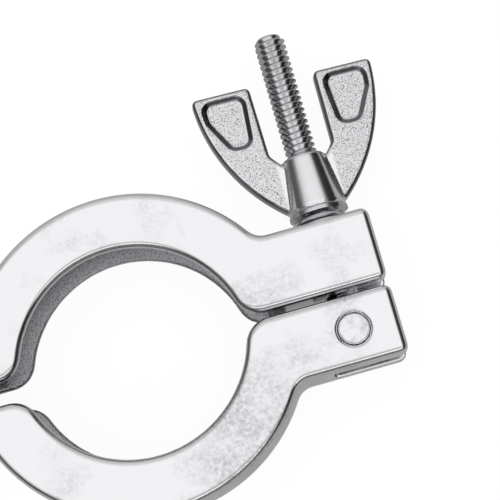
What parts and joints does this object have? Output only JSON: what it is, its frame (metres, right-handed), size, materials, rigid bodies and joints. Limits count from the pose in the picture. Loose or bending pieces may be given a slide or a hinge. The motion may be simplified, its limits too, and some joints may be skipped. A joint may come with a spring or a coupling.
{
  "type": "kf flange clamp",
  "caption": "Hinged ring clamp with an inner V groove, closed by a swing bolt and a wing nut, for joining small vacuum flanges.",
  "frame": {"origin": "on the axis of the flange bore, half way through the clamp's thickness", "axes": "+Z along the bore axis, +X from the hinge to the bolt lugs, +Y along the bolt to the wing nut"},
  "size_m": [0.1091, 0.0878, 0.016],
  "materials": {
    "cast_jaws": "polished investment-cast stainless steel",
    "pins": "ground stainless pin with flat ends",
    "bolt": "rolled stainless thread",
    "washer": "plain stamped stainless",
    "wing_nut": "polished cast stainless with grainy finger pads"
  },
  "bodies": {
    "lower_jaw": {"lower_jaw": "cast_jaws", "hinge_pin": "pins", "pivot_pin": "pins"},
    "upper_jaw": {"upper_jaw": "cast_jaws"},
    "bolt": {"swing_bolt": "bolt"},
    "washer": {"washer": "washer"},
    "nut": {"wing_nut": "wing_nut"}
  },
  "joints": [
    {"name": "jaw_open", "type": "hinge", "parent": "lower_jaw", "child": "upper_jaw", "pos_m": [-0.041, -0.0007, 0], "axis": [0, 0, 1], "range_deg": [-0.5, 100]},
    {"name": "bolt_swing", "type": "hinge", "parent": "lower_jaw", "child": "bolt", "pos_m": [0.0423, -0.0074, 0], "axis": [0, 0, 1], "range_deg": [-110, 0]},
    {"name": "nut_travel", "type": "slide", "parent": "bolt", "child": "washer", "axis": [0, 1, 0], "range_m": [-0.0005, 0.0191]},
    {"name": "nut_turn", "type": "hinge", "parent": "washer", "child": "nut", "pos_m": [0.0423, 0, 0], "axis": [0, 1, 0], "range_deg": [-140, 5400]}
  ],
  "couplings": [
    {"joint": "nut_travel", "follows": "nut_turn", "m_per_rad": 0.00020213},
    {"joint": "jaw_open", "follows": "nut_turn", "ratio": 0.00222}
  ]
}
